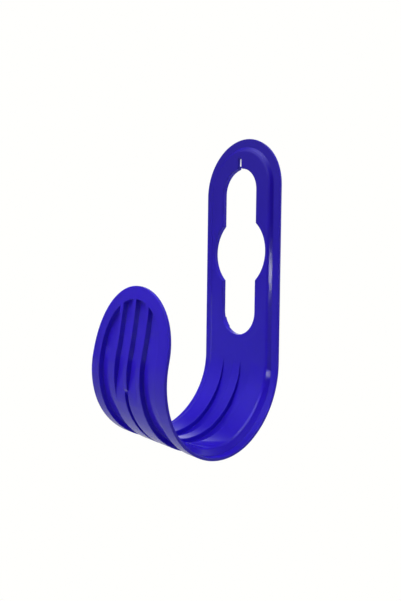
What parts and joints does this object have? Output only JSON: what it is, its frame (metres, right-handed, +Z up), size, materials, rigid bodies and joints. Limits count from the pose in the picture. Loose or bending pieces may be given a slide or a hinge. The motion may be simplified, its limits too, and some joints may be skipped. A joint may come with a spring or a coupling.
{
  "type": "garden hose hanger",
  "caption": "J-shaped moulded plastic hanger for a coiled garden hose, with a wide ribbed hook, a rimmed wall plate and a slot that drops over a tap.",
  "frame": {"origin": "middle of the round part of the tap slot, in the wall plane", "axes": "+Z up along the plate, +Y into the wall, the hook opens to -Y at the front, +X to the right"},
  "size_m": [0.0918, 0.11, 0.2355],
  "materials": {
    "blue_plastic": "glossy moulded"
  },
  "bodies": {
    "root": {"hose_hanger": "blue_plastic"}
  },
  "joints": []
}
